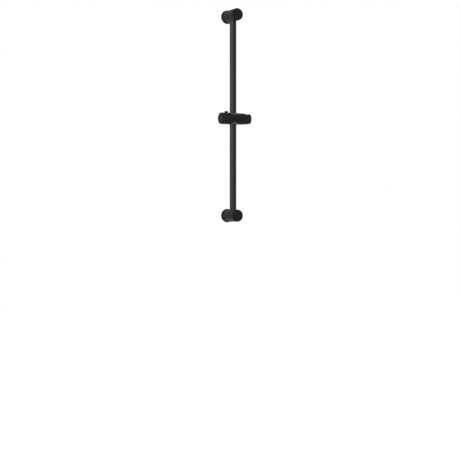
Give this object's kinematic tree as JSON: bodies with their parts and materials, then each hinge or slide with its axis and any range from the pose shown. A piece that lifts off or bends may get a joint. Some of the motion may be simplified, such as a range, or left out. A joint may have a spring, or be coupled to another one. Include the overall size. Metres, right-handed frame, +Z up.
{
  "type": "shower slide rail",
  "caption": "Wall-mounted round slide rail between barrel-shaped brackets, with a push-button slider and a tilting holder that has a conical handset seat.",
  "frame": {"origin": "on the wall plane, midway between the screw holes of the upper and the lower bracket", "axes": "+X to the right when facing the wall, +Y into the wall, +Z up along the tube"},
  "size_m": [0.1082, 0.0759, 0.705],
  "materials": {
    "black_metal": "matt black powder coat",
    "black_plastic": "matt black moulded",
    "grey_plastic": "satin dark grey moulded",
    "black_rubber": "dull black",
    "bright_steel": "plain stainless",
    "brass": "turned"
  },
  "bodies": {
    "rail": {"rail_tube": "black_metal", "upper_bracket": "black_plastic", "lower_bracket": "black_plastic", "upper_wall_disc": "black_plastic", "lower_wall_disc": "black_plastic", "upper_front_cap": "black_plastic", "lower_front_cap": "black_plastic", "upper_tube_plug": "black_rubber", "lower_tube_plug": "black_rubber", "upper_socket_ring": "black_rubber", "lower_socket_ring": "black_rubber"},
    "runner": {"guide_liner": "grey_plastic"},
    "slider": {"slider_housing": "black_plastic", "upper_collar": "grey_plastic", "lower_collar": "grey_plastic", "end_cap": "black_plastic", "brake_spring": "bright_steel", "friction_disc": "black_rubber", "pivot_insert": "brass", "pivot_screw": "bright_steel", "spring_washer": "bright_steel"},
    "button": {"release_button": "black_plastic"},
    "shoe": {"brake_shoe": "grey_plastic", "brake_pad": "black_rubber"},
    "holder": {"holder": "black_plastic"}
  },
  "joints": [
    {"name": "slider_height", "type": "slide", "parent": "rail", "child": "runner", "axis": [0, 0, 1], "range_m": [-0.278, 0.298]},
    {"name": "slider_swing", "type": "hinge", "parent": "runner", "child": "slider", "pos_m": [0, -0.0425, -0.01], "axis": [0, 0, 1], "range_deg": [-25, 25]},
    {"name": "holder_tilt", "type": "hinge", "parent": "slider", "child": "holder", "pos_m": [0.0227, -0.0425, -0.01], "axis": [1, 0, 0], "range_deg": [-15, 45]},
    {"name": "button_press", "type": "slide", "parent": "slider", "child": "button", "axis": [0, 0, -1], "range_m": [0, 0.0025], "stiffness_N_per_m": 3000, "springref_m": -0.001},
    {"name": "shoe_release", "type": "slide", "parent": "slider", "child": "shoe", "axis": [-1, 0, 0], "range_m": [0, 0.0013], "deforming": ["brake_spring"]}
  ],
  "couplings": [
    {"joint": "shoe_release", "follows": "button_press", "ratio": 0.5}
  ]
}
